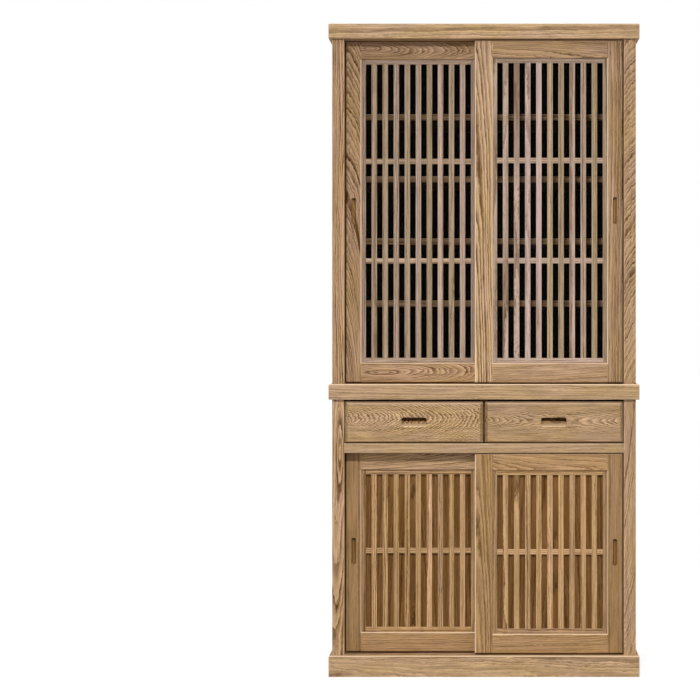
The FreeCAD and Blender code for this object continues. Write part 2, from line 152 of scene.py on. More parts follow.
def make_ash_figure():
    """Growth rings of a plain-sawn ash board.

    Place holds the board's own coordinates in metres: X across the face, Y into the thickness, Z along
    the grain. The rings are cylinders around the heart of the log, which lies behind the face and leans
    away along it, so that they cut the face as straight lines or as pointed arches. A bowed heart comes
    nearer to the face at both ends of the board, so that the arches there point to its middle.
    """
    tree = bpy.data.node_groups.new("ash figure", "ShaderNodeTree")
    add_sockets(tree, "INPUT", "NodeSocketVector", "Place")
    add_sockets(tree, "INPUT", "NodeSocketFloat", "Arch", "Heart", "Lean", "Bow", "Rings", "Sway",
                "Uneven", "Seed")
    add_sockets(tree, "OUTPUT", "NodeSocketFloat", "Line", "Pores", "Fibre", "Cloud")
    start = add(tree, "NodeGroupInput").outputs

    drift = add(tree, COMBINE, [start["Seed"]] * 3)
    moved = add(tree, VECTOR_MATH, (start["Place"], drift), operation="ADD")

    def stretched_noise(spot, detail, roughness=0.5):
        """Noise whose spots are so many millimetres across the grain and along it."""
        across_mm, along_mm = spot
        scale = (1 / (across_mm * MM), 1 / (across_mm * MM), 1 / (along_mm * MM))
        place = add(tree, VECTOR_MATH, (moved, scale), operation="MULTIPLY")
        return add(tree, NOISE, {"Vector": place, "Scale": 1.0, "Detail": detail, "Roughness": roughness})

    def centred(noise, reach):
        """The noise's colour as a vector around zero, reach metres long at most."""
        shifted = add(tree, VECTOR_MATH, (noise.outputs["Color"], (0.5, 0.5, 0.5)), operation="SUBTRACT")
        return add(tree, VECTOR_MATH, {0: shifted, "Scale": reach}, operation="SCALE")

    slow = centred(stretched_noise(SLOW_SWAY, 1.0), start["Sway"])
    quick = centred(stretched_noise(QUICK_SWAY, 2.0), QUICK_REACH)
    swayed = add(tree, VECTOR_MATH, (start["Place"], slow), operation="ADD")
    swayed = add(tree, VECTOR_MATH, (swayed, quick), operation="ADD")
    parts = add(tree, SEPARATE, (swayed,)).outputs

    across = add(tree, MATH, (parts["X"], start["Arch"]), operation="SUBTRACT")
    leaning = add(tree, MATH, (parts["Z"], start["Lean"], start["Heart"]), operation="MULTIPLY_ADD")
    along_squared = add(tree, MATH, (parts["Z"], parts["Z"]), operation="MULTIPLY")
    bowed = add(tree, MATH, (along_squared, start["Bow"]), operation="MULTIPLY")
    inward = add(tree, MATH, (leaning, bowed), operation="SUBTRACT")
    inward = add(tree, MATH, (inward, parts["Y"]), operation="ADD")
    across_squared = add(tree, MATH, (across, across), operation="MULTIPLY")
    radius_squared = add(tree, MATH, (inward, inward, across_squared), operation="MULTIPLY_ADD")
    radius = add(tree, MATH, (radius_squared,), operation="SQRT")
    ragged = add(tree, MATH, (stretched_noise(RAGGED_EDGE, 1.0), 0.5), operation="SUBTRACT")
    radius = add(tree, MATH, (ragged, RAGGED_REACH, radius), operation="MULTIPLY_ADD")

    count = add(tree, MATH, (radius, start["Rings"]), operation="DIVIDE")
    years = add(tree, NOISE, {"W": count, "Scale": YEARS_SCALE, "Detail": 1.0}, noise_dimensions="1D")
    ahead = add(tree, MATH, (start["Uneven"], RINGS_AHEAD), operation="MULTIPLY")
    count = add(tree, MATH, (years, ahead, count), operation="MULTIPLY_ADD")
    share = add(tree, MATH, (count,), operation="FRACT")
    ring = add(tree, MATH, (count,), operation="FLOOR")
    drawn = add(tree, "ShaderNodeTexWhiteNoise", {"W": ring}, noise_dimensions="1D").outputs["Value"]
    faintest = add(tree, MATH, (start["Uneven"], -FAINTEST_LOSS, 1.0), operation="MULTIPLY_ADD")
    strength = add(tree, MAP_RANGE, {"Value": drawn, "To Min": faintest, "To Max": 1.0})

    # Each ring starts dark with its open pores, fades, and rises again just before the next.
    fading = add(tree, MAP_RANGE, {"Value": share, "From Max": LINE_FADED, "To Min": 1.0, "To Max": 0.0})
    rising = add(tree, MAP_RANGE, {"Value": share, "From Min": LINE_RISES, "From Max": 1.0},
                 interpolation_type="SMOOTHSTEP")
    line = add(tree, MATH, (fading, rising), operation="MAXIMUM")
    line = add(tree, MATH, (line, strength), operation="MULTIPLY")
    broken = add(tree, MAP_RANGE, {"Value": stretched_noise(LINE_BREAKS, 1.0), "From Min": 0.3,
                                   "From Max": 0.65, "To Min": 0.7, "To Max": 1.15})
    line = add(tree, MATH, (line, broken), operation="MULTIPLY")

    dashes = add(tree, MAP_RANGE, {"Value": stretched_noise(PORE_DASHES, 2.0, 0.6), "From Min": 0.52,
                                   "From Max": 0.66})
    in_line = add(tree, MAP_RANGE, {"Value": line, "To Min": 0.25, "To Max": 1.0})
    pores = add(tree, MATH, (dashes, in_line), operation="MULTIPLY")
    cloud = add(tree, MAP_RANGE, {"Value": stretched_noise(CLOUDS, 1.0), "From Min": 0.33,
                                  "From Max": 0.67})
    fibre = stretched_noise(FIBRES, 3.0, 0.65)
    add(tree, "NodeGroupOutput", {"Line": line, "Pores": pores, "Fibre": fibre, "Cloud": cloud})
    return tree


ASH_FIGURE = make_ash_figure()

# Where each coordinate of a board points: across its face, into its thickness, along its grain.
UPRIGHT_FRONT = "xyz"
LEVEL_FRONT = "zyx"
UPRIGHT_SIDE = "yxz"
LEVEL_SIDE = "zxy"
LYING = "yzx"
ALONG = 2


def board_place(tree, directions, middle, shift=None):
    """The board's own coordinates, from the object's, about the middle of the board."""
    place = add(tree, "ShaderNodeTexCoord").outputs["Object"]
    place = add(tree, VECTOR_MATH, (place, middle), operation="SUBTRACT")
    parts = add(tree, SEPARATE, (place,)).outputs
    place = add(tree, COMBINE, [parts[axis.upper()] for axis in directions])
    if shift is not None:
        place = add(tree, VECTOR_MATH, (place, shift), operation="ADD")
    return place


@dataclass
class Cut:
    """How a board was cut from the log, and how it looks since."""

    # The log's heart: millimetres to one side of the board's middle, and behind its face.
    arch: float = 0.0
    heart: float = 90.0
    # How fast the heart leans away along the board, and how fast it comes nearer towards both ends.
    lean: float = 0.05
    bow: float = 0.0
    # Width of a ring and reach of its sway in millimetres, and how uneven the rings are, from 0 to 1.
    rings: float = 6.0
    sway: float = 22.0
    uneven: float = 1.0
    # Colours of the wood, darkness of its ring lines, and lightness of the whole board.
    tone: str = "honey"
    depth: float = 1.0
    shade: float = 1.0
    # How strong the painted highlight on the rounded edges is on the left, on the right and above.
    left: float = 0.4
    right: float = 0.4
    crown: float = 0.6


# Rosy wood, yellower wood beside it, and the dark line of open pores at the start of each ring.
TONES = {
    "straw": ("#c9a887", "#c4a478", "#664623"),
    "honey": ("#c4a181", "#be9c72", "#5c3b1a"),
    "sand": ("#cea782", "#c69f6c", "#6b4a28"),
    "amber": ("#bc966f", "#b69162", "#4f3012"),
    "grey": ("#ccb1a2", "#c1a88c", "#76583c"),
    "brown": ("#90683f", "#835c2f", "#523614"),
    "pale": ("#d2bd9c", "#cbb487", "#b39467"),
    # Near black: painted shade for the inside of the cupboard, on the back panels.
    "black": ("#171310", "#12100d", "#0b0908"),
}
# How much the clouds still change the tone of a board whose tint is given.
CLOUD_SHARE = 0.35
# Light from the fibres, darkest and lightest, and what pores and end grain leave of it.
FIBRE_LIGHT = (0.76, 1.22)
PORE_TONE = 0.66
END_GRAIN_TONE = 0.62
# Painted highlight: rounded edges are mixed towards pale wood where light catches them, most in the
# middle of the rounding; a little of it is sanded-through wood.
ARRIS_HIGHLIGHT_COLOUR = "#ecd0b0"
ARRIS_HIGHLIGHT_GAIN = 1.6
# The largest part of the normal where an edge starts to count as rounded, and where it counts in full.
FLAT_FACE = 0.995
ROUNDING = 0.92
# The lacquer leaves the pores open: so deep, and the ring lines a third of that.
PORE_DEPTH = 0.4 * MM
LINE_DEPTH_SHARE = 0.35
# Painted shade takes more of the green and much more of the blue out of the wood, so that it reads
# browner.
SHADE_BROWNING_POWERS = (1.0, 1.2, 1.7)
# The edge of a toned place is soft over this much.
SOFT_EDGE = 0.5 * MM


def end_grain(tree, directions):
    """From 0 on a face along the grain to 1 on a face across it."""
    normal = add(tree, "ShaderNodeNewGeometry").outputs["Normal"]
    facing = add(tree, SEPARATE, (normal,)).outputs[directions[ALONG].upper()]
    facing = add(tree, MATH, (facing,), operation="ABSOLUTE")
    return add(tree, MAP_RANGE, {"Value": facing, "From Min": 0.15, "From Max": 0.85})


def rounded_arris(tree):
    """From 0 on the flat faces of a board to 1 in the middle of a rounded edge."""
    normal = add(tree, "ShaderNodeNewGeometry").outputs["Normal"]
    steep = add(tree, VECTOR_MATH, (normal,), operation="ABSOLUTE")
    parts = add(tree, SEPARATE, (steep,)).outputs
    flattest = add(tree, MATH, (parts["X"], parts["Y"]), operation="MAXIMUM")
    flattest = add(tree, MATH, (flattest, parts["Z"]), operation="MAXIMUM")
    return add(tree, MAP_RANGE, {"Value": flattest, "From Min": FLAT_FACE, "From Max": ROUNDING})


def arris_highlight(tree, cut):
    """Share of painted highlight on the rounded edges, as the cut says for left, right and above."""
    normal = add(tree, "ShaderNodeNewGeometry").outputs["Normal"]
    parts = add(tree, SEPARATE, (normal,)).outputs
    highlighted = 0.0
    for axis, way, wear in (("X", -1.0, cut.left), ("X", 1.0, cut.right), ("Z", 1.0, cut.crown)):
        facing = add(tree, MATH, (parts[axis], way), operation="MULTIPLY")
        facing = add(tree, MATH, (facing, 0.0), operation="MAXIMUM")
        highlighted = add(tree, MATH, (facing, ARRIS_HIGHLIGHT_GAIN * wear, highlighted), operation="MULTIPLY_ADD")
    return add(tree, MATH, (highlighted, rounded_arris(tree)), operation="MULTIPLY", use_clamp=True)


def within_box(tree, low, high):
    """1 inside a box of the object's own coordinates and 0 outside it."""
    place = add(tree, "ShaderNodeTexCoord").outputs["Object"]
    offset = add(tree, VECTOR_MATH, (place, (low + high) / 2), operation="SUBTRACT")
    offset = add(tree, VECTOR_MATH, (offset,), operation="ABSOLUTE")
    beyond = add(tree, VECTOR_MATH, (offset, (high - low) / 2), operation="SUBTRACT")
    parts = add(tree, SEPARATE, (beyond,)).outputs
    most = add(tree, MATH, (parts["X"], parts["Y"]), operation="MAXIMUM")
    most = add(tree, MATH, (most, parts["Z"]), operation="MAXIMUM")
    return add(tree, MAP_RANGE, {"Value": most, "From Min": -SOFT_EDGE, "From Max": 0.0, "To Min": 1.0,
                                 "To Max": 0.0})


def browned(tone):
    """What a tone leaves of red, green and blue: a dark one is browner, and a light one is even."""
    if tone > 1:
        return (tone, tone, tone, 1.0)
    return (*(tone ** power for power in SHADE_BROWNING_POWERS), 1.0)


def shaded(colour, share):
    """A linear colour made darker or lighter."""
    return (*(part * share for part in colour[:3]), 1.0)


def shade_ash(material, place, directions, cut, seed, tint=None, brightness=None, toned_boxes=()):
    """Ash under satin lacquer, which leaves the grain open, so the rings break up its sheen."""
    tree = material.node_tree
    figure = add(tree, "ShaderNodeGroup",
                 {"Place": place, "Arch": cut.arch * MM, "Heart": cut.heart * MM, "Lean": cut.lean,
                  "Bow": cut.bow, "Rings": cut.rings * MM, "Sway": cut.sway * MM, "Uneven": cut.uneven,
                  "Seed": seed}, node_tree=ASH_FIGURE).outputs
    rosy, yellow, dark = (shaded(linear(code), cut.shade) for code in TONES[cut.tone])

    cloud = figure["Cloud"]
    if tint is not None:
        cloud = add(tree, MATH, (cloud, CLOUD_SHARE, tint), operation="MULTIPLY_ADD")
    ground = add(tree, MIX, {"Factor": cloud, FROM: rosy, TO: yellow}, data_type="RGBA",
                 clamp_factor=False)
    darkness = add(tree, MATH, (figure["Line"], cut.depth), operation="MULTIPLY")
    ringed = add(tree, MIX, {"Factor": darkness, FROM: ground.outputs[MIXED], TO: dark},
                 data_type="RGBA")

    light = add(tree, MAP_RANGE, {"Value": figure["Fibre"], "From Min": 0.3, "From Max": 0.7,
                                  "To Min": FIBRE_LIGHT[0], "To Max": FIBRE_LIGHT[1]})
    in_pores = add(tree, MAP_RANGE, {"Value": figure["Pores"], "To Min": 1.0, "To Max": PORE_TONE})
    at_ends = add(tree, MAP_RANGE, {"Value": end_grain(tree, directions), "To Min": 1.0,
                                    "To Max": END_GRAIN_TONE})
    for factor in (in_pores, at_ends, brightness):
        if factor is not None:
            light = add(tree, MATH, (light, factor), operation="MULTIPLY")
    lit = add(tree, VECTOR_MATH, {0: ringed.outputs[MIXED], "Scale": light}, operation="SCALE")
    # Painted highlight on the rounded edges, partly also sanded-through paler wood.
    highlighted = add(tree, MIX, {"Factor": arris_highlight(tree, cut), FROM: lit, TO: linear(ARRIS_HIGHLIGHT_COLOUR)},
               data_type="RGBA")
    colour = highlighted.outputs[MIXED]
    # Painted shade and painted light in the toned boxes.
    for low, high, tone in toned_boxes:
        toned = add(tree, MIX, {"Factor": within_box(tree, low, high), FROM: WHITE, TO: browned(tone)},
                    data_type="RGBA")
        colour = add(tree, VECTOR_MATH, (colour, toned.outputs[MIXED]), operation="MULTIPLY")

    rough = add(tree, MAP_RANGE, {"Value": figure["Line"], "To Min": 0.5, "To Max": 0.64})
    sunk = add(tree, MATH, (figure["Line"], LINE_DEPTH_SHARE, figure["Pores"]), operation="MULTIPLY_ADD")
    height = add(tree, MATH, (1.0, sunk), operation="SUBTRACT")
    bump = add(tree, "ShaderNodeBump", {"Height": height, "Strength": 0.35, "Distance": PORE_DEPTH})
    shader = add(tree, "ShaderNodeBsdfPrincipled",
                 {"Base Color": colour, "Roughness": rough, "IOR": 1.5, "Specular IOR Level": 0.05,
                  "Normal": bump})
    add(tree, "ShaderNodeOutputMaterial", {"Surface": shader})


# The toned places of the boards, which are painted shade and painted light. A tone below 1 darkens the
# wood and one above 1 lightens it.

# Boxes reach past the faces that they tone by a margin, and past a tongue by a little.
MARGIN = 1.0 * MM
SEAM = 0.2 * MM
# Tongues are painted dark as shade in the gaps under and over the doors. The lengths are their heights.
BOTTOM_TONGUE = 7.5 * MM
TOP_TONGUE = 11.0 * MM
TONGUE_SHADE_TONE = 0.22
# Inside the narrow gaps beside doors and drawers the wood is painted dark as shade from 4 mm behind the
# face.
GAP_START = 4.0 * MM
GAP_SHADE_TONE = 0.55
DIVIDER_SHADE_TONE = 0.3
# The upper shelves have painted light and shade: a strip along the front, the lipping, is painted lighter
# as lit, and the board behind it darker as the shade inside the cupboard.
SHELF_LIPPING = 8.0 * MM
LIPPING_LIGHT_TONE = 2.1
SHELF_SHADE_TONE = 0.4
# The back panels are painted near black inside as the shade of the cupboard's inside; on the face towards
# the wall most of that painted shade is lifted again.
BACK_FACE_TONE = 12.0
# The bevel of a drawer front has painted shade near the middle of the cupboard and painted light away
# from it and below.
FRONT_THICKNESS = 22.0 * MM
BEVEL = 8.5 * MM
LOWER_BEVEL = 3.5 * MM
NEAR_BEVEL_SHADE_TONE = 0.82
FAR_BEVEL_LIGHT_TONE = 1.1
LOWER_BEVEL_LIGHT_TONE = 1.25
# A drawer's pull: painted shade in its hollow, a painted shadow under its upper lip, and a painted
# highlight on its lower lip.
DRAWER_PULL = Vector((76.0, 14.0, 24.0)) * MM
DRAWER_PULL_UNDERCUT = 8.0 * MM
DRAWER_PULL_SHADOW = 11.0 * MM
SHADOW_START = 1.5 * MM
LIP_DEPTH = 4.0 * MM
LIP_INSET = 4.0 * MM
LIP_DROP = 2.0 * MM
HOLLOW_SHADE_TONE = 0.78
SHADOW_TONE = 0.22
LIP_HIGHLIGHT_TONE = 1.4
# A door's pull: a ring of painted shade, wider at its top, round a bed where less of that shade is
# painted.
DOOR_PULL = Vector((12.5, 9.0, 77.0)) * MM
DOOR_PULL_RING = 3.5 * MM
DOOR_PULL_SHADOW = 6.0 * MM
PULL_RING_SHADE_TONE = 0.42
BED_TONE = 2.0


def span(origin, x, y, z):
    """A box from three pairs of lengths, measured from a point."""
    low, high = (Vector(ends) for ends in zip(x, y, z))
    return origin + low, origin + high


def toned_boxes_of(node):
    """Boxes of a board painted darker or lighter than the rest, as shade or light: low corner, high
    corner and tone.
    """
    low, high = (Vector(corner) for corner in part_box(node))
    middle = (low + high) / 2
    margin = Vector((MARGIN, MARGIN, MARGIN))
    seam = Vector((SEAM, SEAM, SEAM))
    boxes = []
    # Painted shade on the tongues, for the dark gaps under and over the doors.
    if "_door_" in node and node.endswith(("_stile", "bottom_rail")):
        tongue_top = Vector((high.x, high.y, low.z + BOTTOM_TONGUE))
        boxes.append((low - margin, tongue_top + seam, TONGUE_SHADE_TONE))
    if "_door_" in node and node.endswith(("_stile", "top_rail")):
        tongue_foot = Vector((low.x, low.y, high.z - TOP_TONGUE))
        boxes.append((tongue_foot - seam, high + margin, TONGUE_SHADE_TONE))
    # Painted shade on the inner face of a post, inside the gap beside the doors and drawers.
    if node.endswith("_post"):
        inner_face = Vector((high.x if high.x < 0 else low.x, low.y, low.z))
        depth, rise = (GAP_START, high.y - low.y + MARGIN), (-MARGIN, high.z - low.z + MARGIN)
        boxes.append((*span(inner_face, (-MARGIN, MARGIN), depth, rise), GAP_SHADE_TONE))
    # Painted shade on the divider in the gap between the drawers.
    if node == "drawer_divider":
        boxes.append((low - margin, Vector((high.x, low.y, high.z)) + margin, DIVIDER_SHADE_TONE))
    # Painted light on the shelf's front strip and painted shade on the board behind it.
    if node.startswith("upper_shelf"):
        joint_y = low.y + SHELF_LIPPING
        joint_top = Vector((high.x + MARGIN, joint_y, high.z + MARGIN))
        joint_foot = Vector((low.x - MARGIN, joint_y, low.z - MARGIN))
        boxes.append((low - margin, joint_top, LIPPING_LIGHT_TONE))
        boxes.append((joint_foot, high + margin, SHELF_SHADE_TONE))
    # The rear face of a back panel loses most of its painted shade.
    if node.endswith("back_panel"):
        boxes.append((Vector((low.x, high.y - MARGIN, low.z)) - margin, high + margin, BACK_FACE_TONE))
    if node.endswith("drawer_front"):
        boxes += bevel_boxes(low, high)
        boxes += drawer_pull_boxes(Vector((middle.x, low.y, middle.z)))
    if node.endswith("outer_stile"):
        boxes += door_pull_boxes(Vector((middle.x, low.y, frame_middle_z(node))))
    return boxes


def bevel_boxes(low, high):
    """The bevel at both ends of a drawer front and along its bottom, with painted shade and painted
    light.
    """
    depth = (-MARGIN, FRONT_THICKNESS)
    rise = (MARGIN, high.z - low.z - BEVEL)
    left = span(low, (-MARGIN, BEVEL), depth, rise)
    right = span(Vector((high.x, low.y, low.z)), (-BEVEL, MARGIN), depth, rise)
    bottom = span(low, (BEVEL, high.x - low.x - BEVEL), depth, (-MARGIN, LOWER_BEVEL))
    tones = (NEAR_BEVEL_SHADE_TONE, FAR_BEVEL_LIGHT_TONE)
    left_tone, right_tone = tones if abs(low.x) < abs(high.x) else reversed(tones)
    return [(*left, left_tone), (*right, right_tone), (*bottom, LOWER_BEVEL_LIGHT_TONE)]


def drawer_pull_boxes(middle):
    """The hollow of a drawer's pull: painted shade, a darker painted shadow under its upper lip, and a
    painted highlight on its lower lip.
    """
    half_x, half_z = DRAWER_PULL.x / 2, DRAWER_PULL.z / 2
    top = half_z + DRAWER_PULL_UNDERCUT
    hollow = span(middle, (-half_x, half_x), (LIP_DEPTH, DRAWER_PULL.y), (-half_z - MARGIN, top))
    shadow = span(middle, (-half_x, half_x), (SHADOW_START, DRAWER_PULL.y),
                  (half_z - DRAWER_PULL_SHADOW, top))
    lip = span(middle, (LIP_INSET - half_x, half_x - LIP_INSET), (-MARGIN, LIP_DEPTH),
               (-half_z - LIP_DROP, LIP_DEPTH - half_z))
    return [(*hollow, HOLLOW_SHADE_TONE), (*shadow, SHADOW_TONE), (*lip, LIP_HIGHLIGHT_TONE)]


def door_pull_boxes(middle):
    """The hollow of a door's pull: painted shade round its edge, most at its top, and less of it inside.
    """
    half_x, half_z = DOOR_PULL.x / 2, DOOR_PULL.z / 2
    depth = (MARGIN, DOOR_PULL.y + MARGIN)
    ring = span(middle, (-half_x - MARGIN, half_x + MARGIN), depth,
                (-half_z - MARGIN, half_z + MARGIN))
    bed = span(middle, (DOOR_PULL_RING - half_x, half_x - DOOR_PULL_RING), depth,
               (DOOR_PULL_RING - half_z, half_z - DOOR_PULL_SHADOW))
    return [(*ring, PULL_RING_SHADE_TONE), (*bed, BED_TONE)]


def frame_middle_z(stile):
    """Height of the middle of the lattice beside a stile, where the stile's pull is."""
    low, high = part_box(stile.replace("outer_stile", "lattice"))
    return (low[2] + high[2]) / 2


# The boards

# The boards of the front, each with a cut of its own that puts its figure as the photograph shows it.
FRONT_CUTS = {
    "cap_board": Cut(
        arch=-70, heart=110, lean=0.012, rings=4.4, sway=12, tone="straw", depth=0.7, crown=0.8,
        shade=1.2),
    "counter_board": Cut(
        arch=60, heart=150, lean=0.01, rings=4.6, sway=12, tone="straw", depth=0.8, crown=1.0,
        shade=0.98),
    "middle_rail": Cut(
        arch=40, heart=120, lean=0.008, rings=4.5, sway=10, tone="straw", depth=0.6, shade=0.92),
    "plinth_front": Cut(
        arch=-30, heart=110, lean=0.015, rings=3.4, sway=20, tone="straw", depth=0.8, crown=0.8,
        shade=1.11),
    "upper_left_post": Cut(
        arch=26, heart=46, lean=0.05, rings=4.6, sway=46, depth=1.1, left=0.3, right=0.3, shade=1.08),
    "upper_right_post": Cut(
        arch=62, heart=280, lean=0.18, rings=3.0, sway=8, depth=1.1, left=0.3, right=0.3, shade=1.06),
    "lower_left_post": Cut(
        arch=2, heart=34, lean=0.06, rings=4.4, sway=60, depth=1.1, left=0.3, right=0.3, shade=1.1),
    "lower_right_post": Cut(
        arch=-50, heart=120, lean=-0.12, rings=2.4, sway=14, depth=0.9, left=0.3, right=0.3,
        shade=1.08),
    "left_drawer_front": Cut(
        arch=12, heart=80, lean=0.17, rings=2.2, sway=8, uneven=0.3, tone="straw", left=0.0, right=0.0,
        crown=0.5, shade=1.13),
    "right_drawer_front": Cut(
        arch=4, heart=42, lean=0.015, bow=0.45, rings=2.6, sway=12, uneven=0.5, tone="straw", left=0.0,
        right=0.0, crown=0.5, shade=1.03),
    "upper_left_door_outer_stile": Cut(
        arch=-50, heart=105, lean=0.15, rings=3.4, sway=30, depth=1.3, left=0.0, right=1.0, shade=1.04),
    "upper_left_door_meeting_stile": Cut(arch=40, heart=70, lean=0.06, rings=4.0),
    "upper_right_door_outer_stile": Cut(
        arch=60, heart=50, lean=0.02, rings=4.6, sway=26, depth=1.2, left=0.9, right=0.0, shade=0.96),
    "upper_right_door_meeting_stile": Cut(
        arch=-40, heart=48, lean=0.05, rings=7.0, sway=40, tone="straw", depth=1.2, left=0.9, right=0.6,
        shade=1.16),
    "lower_left_door_outer_stile": Cut(
        arch=-110, heart=50, lean=0.01, rings=4.2, sway=10, tone="amber", depth=0.6, left=0.0, right=0.5,
        shade=0.94),
    "lower_left_door_meeting_stile": Cut(arch=40, heart=70, lean=0.06, rings=4.0),
    "lower_right_door_outer_stile": Cut(
        arch=95, heart=50, lean=0.01, rings=3.8, sway=14, tone="amber", depth=0.7, left=0.5, right=0.0,
        shade=0.93),
    "lower_right_door_meeting_stile": Cut(
        arch=-20, heart=46, lean=0.04, rings=6.0, sway=30, tone="amber", depth=0.8, left=0.9, right=0.0,
        shade=1.01),
    "upper_left_door_top_rail": Cut(arch=0, heart=40, lean=0.2, rings=3.2, sway=34, shade=0.96),
    "upper_right_door_top_rail": Cut(
        arch=-50, heart=80, lean=0.05, rings=4.0, sway=26, depth=0.9, shade=0.98),
    "upper_left_door_bottom_rail": Cut(
        arch=6, heart=32, lean=0.13, rings=3.2, sway=30, depth=1.1, shade=1.18),
    "upper_right_door_bottom_rail": Cut(
        arch=60, heart=80, lean=0.03, rings=4.2, sway=16, depth=0.7, shade=0.98),
    "lower_left_door_top_rail": Cut(
        arch=34, heart=60, lean=0.08, rings=4.2, sway=30, depth=1.1, shade=1.15),
    "lower_right_door_top_rail": Cut(
        arch=-30, heart=70, lean=0.04, rings=4.0, sway=34, tone="amber", depth=0.8, shade=1.1),
    "lower_left_door_bottom_rail": Cut(
        arch=70, heart=80, lean=0.03, rings=4.0, sway=18, tone="amber", depth=0.8, crown=0.9, shade=1.11),
    "lower_right_door_bottom_rail": Cut(
        arch=60, heart=70, lean=0.03, rings=3.4, sway=20, tone="amber", depth=0.9, crown=0.9, shade=1.12),
}
# The ranges from which the cuts of the other boards are drawn.
DRAWN_CUT = {
    "arch": (-60, 60), "heart": (70, 140), "lean": (0.02, 0.07), "rings": (5.5, 7.5), "sway": (18, 34),
}
# How far the seeds of two boards that follow each other are apart, and the seed of the dowels.
BOARD_SEED = 1.7
DOWEL_SEED = 0.4


def directions_of(node):
    """Which way the grain of a board runs."""
    if node.endswith("_side"):
        return UPRIGHT_SIDE
    if node.endswith("drawer_sides") or node in ("plinth_left", "plinth_right", "drawer_runners"):
        return LEVEL_SIDE
    if "shelf" in node or node in ("lower_floor", "dust_board") or node.endswith("drawer_bottom"):
        return LYING
    if node in ("cap_board", "counter_board", "plinth_front", "plinth_back"):
        return LEVEL_FRONT
    if node.endswith(("_rail", "drawer_front", "drawer_back")):
        return LEVEL_FRONT
    return UPRIGHT_FRONT


def tone_of(node):
    """Tone of a board that has no cut of its own: brown-stained door panels, back panels painted near
    black as the shade inside the cupboard, unstained drawers, and ash.
    """
    if node.endswith("door_panel"):
        return "brown"
    # Painted shade: the back panels stand for the dark inside of the cupboard.
    if node.endswith("back_panel"):
        return "black"
    if node.endswith(("drawer_sides", "drawer_back", "drawer_bottom")):
        return "pale"
    if node in ("dust_board", "drawer_runners"):
        return "pale"
    return "honey"


def drawn_cut(node, index):
    """A cut for a board that has none of its own, the same each time."""
    draw = random.Random(index)
    drawn = {name: draw.uniform(*ends) for name, ends in DRAWN_CUT.items()}
    return Cut(tone=tone_of(node), **drawn)


def ash_board(node, cut, seed):
    """Gives one carried-over board its own piece of wood."""
    material = empty_material(f"ash {node}")
    low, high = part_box(node)
    middle = (Vector(low) + Vector(high)) / 2
    directions = directions_of(node)
    place = board_place(material.node_tree, directions, middle)
    shade_ash(material, place, directions, cut, seed, toned_boxes=toned_boxes_of(node))
    paint(node, material)


def paint_boards():
    """Every board gets its own wood, from its own cut or from one drawn by its place in the list."""
    for index, node in enumerate(sorted(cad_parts)):
        if node.endswith(("_glass", "_lattice")) or node in ("shelf_pins", "case_dowels"):
            continue
        cut = FRONT_CUTS[node] if node in FRONT_CUTS else drawn_cut(node, index)
        ash_board(node, cut, BOARD_SEED * (index + 1))


# The lattices

# A slat's number, up to this, moves its grain along the log by so many metres.
SLAT_NUMBERS = 40.0
SLAT_LIGHTNESS = (0.84, 1.16)
# The side and top strips round a lattice are painted darker than its bars, as shade beside and under the
# frame, and the crossbars a little lighter.
SIDE_STRIP_SHADOW_TONE = 0.8
TOP_STRIP_SHADOW_TONE = 0.88
CROSSBAR_SHADE = 1.06
# Points of a slat that are nearer than this are one.
MERGING = 0.01 * MM
# The random value node's sockets for plain numbers go by number too: its top and its output.
RANDOM_TOP, RANDOM_VALUE = 3, 1


def slat_wood(name, directions, cut, seed, tints):
    """Wood of a lattice's slats: each slat's number draws its tone, and each row has its own shade, which
    carries the painted shade of the strips.
    """
    material = empty_material(name)
    tree = material.node_tree
    number = add(tree, "ShaderNodeAttribute", attribute_name="slat_number").outputs["Fac"]
    shift = add(tree, COMBINE, {2: number})
    place = board_place(tree, directions, (0.0, 0.0, 0.0), shift)
    drawn = add(tree, "ShaderNodeTexWhiteNoise", {"W": number}, noise_dimensions="1D").outputs["Color"]
    drawn = add(tree, SEPARATE, (drawn,)).outputs
    darkest, lightest = SLAT_LIGHTNESS
    lightness = add(tree, MAP_RANGE, {"Value": drawn["X"], "To Min": darkest, "To Max": lightest})
    shade = add(tree, "ShaderNodeAttribute", attribute_name="slat_shade").outputs["Fac"]
    brightness = add(tree, MATH, (lightness, shade), operation="MULTIPLY")
    tint = add(tree, MAP_RANGE, {"Value": drawn["Y"], "To Min": tints[0], "To Max": tints[1]})
    shade_ash(material, place, directions, cut, seed, tint, brightness)
    return material


def make_slat_tree():
    """One slat about its middle: a bar along Z whose long edges are rounded, closed at both ends."""
    tree = bpy.data.node_groups.new("slat", "GeometryNodeTree")
    add_sockets(tree, "INPUT", "NodeSocketFloat", "Width", "Depth", "Length", "Edge radius")
    add_sockets(tree, "OUTPUT", "NodeSocketGeometry", "Slat")
    start = add(tree, "NodeGroupInput").outputs
    outline = add(tree, "GeometryNodeCurvePrimitiveQuadrilateral",
                  {"Width": start["Width"], "Height": start["Depth"]})
    outline = add(tree, "GeometryNodeFilletCurve",
                  {"Curve": outline, "Count": 3, "Radius": start["Edge radius"]}, mode="POLY")
    face = add(tree, "GeometryNodeFillCurve", {"Curve": outline}, mode="NGONS")
    rise = add(tree, COMBINE, {2: start["Length"]})
    body = add(tree, "GeometryNodeExtrudeMesh", {"Mesh": face, "Offset": rise, "Individual": False})
    bottom = add(tree, "GeometryNodeFlipFaces", {"Mesh": face})
    both = add(tree, "GeometryNodeJoinGeometry", {0: [body, bottom]})
    closed = add(tree, "GeometryNodeMergeByDistance", {"Geometry": both, "Distance": MERGING})
    half_down = add(tree, VECTOR_MATH, {0: rise, "Scale": -0.5}, operation="SCALE")
    slat = add(tree, "GeometryNodeTransform", {"Geometry": closed, "Translation": half_down})
    add(tree, "NodeGroupOutput", {"Slat": slat})
    return tree


SLAT_TREE = make_slat_tree()


